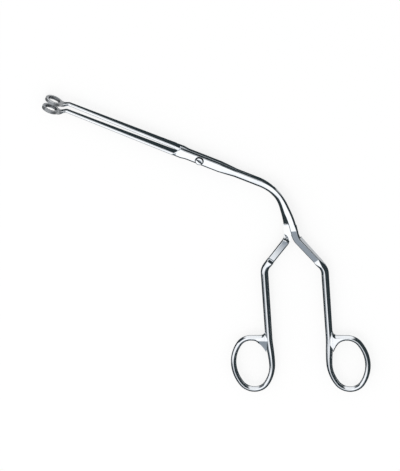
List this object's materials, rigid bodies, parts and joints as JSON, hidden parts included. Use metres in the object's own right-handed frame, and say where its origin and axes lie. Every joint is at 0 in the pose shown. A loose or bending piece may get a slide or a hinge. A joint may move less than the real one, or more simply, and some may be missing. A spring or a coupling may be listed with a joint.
{
  "type": "magill forceps",
  "caption": "Angled magill forceps in polished steel: two halves on a slotted pivot screw, open serrated jaw loops at the tips, bent shaft and finger rings.",
  "frame": {"origin": "on the pivot axis, in the flat rear face of the lap joint", "axes": "+X along the shaft to the jaw tips, +Z along the pivot axis out of the face with the screw head, handles towards -X and +Y"},
  "size_m": [0.2534, 0.1429, 0.0094],
  "materials": {
    "polished_steel": "polished",
    "screw_steel": "polished"
  },
  "bodies": {
    "rear_half": {"rear_jaw_loop": "polished_steel", "rear_jaw_arm": "polished_steel", "rear_lap_plate": "polished_steel", "rear_bend": "polished_steel", "rear_yoke_arm": "polished_steel", "rear_handle_shank": "polished_steel", "rear_finger_ring": "polished_steel", "pivot_screw": "screw_steel"},
    "front_half": {"front_jaw_loop": "polished_steel", "front_jaw_arm": "polished_steel", "front_lap_plate": "polished_steel", "front_bend": "polished_steel", "front_yoke_arm": "polished_steel", "front_handle_shank": "polished_steel", "front_finger_ring": "polished_steel"}
  },
  "joints": [
    {"name": "pivot", "type": "hinge", "parent": "rear_half", "child": "front_half", "pos_m": [0, 0, 0.0031], "axis": [0, 0, 1], "range_deg": [-2.1, 24]}
  ]
}
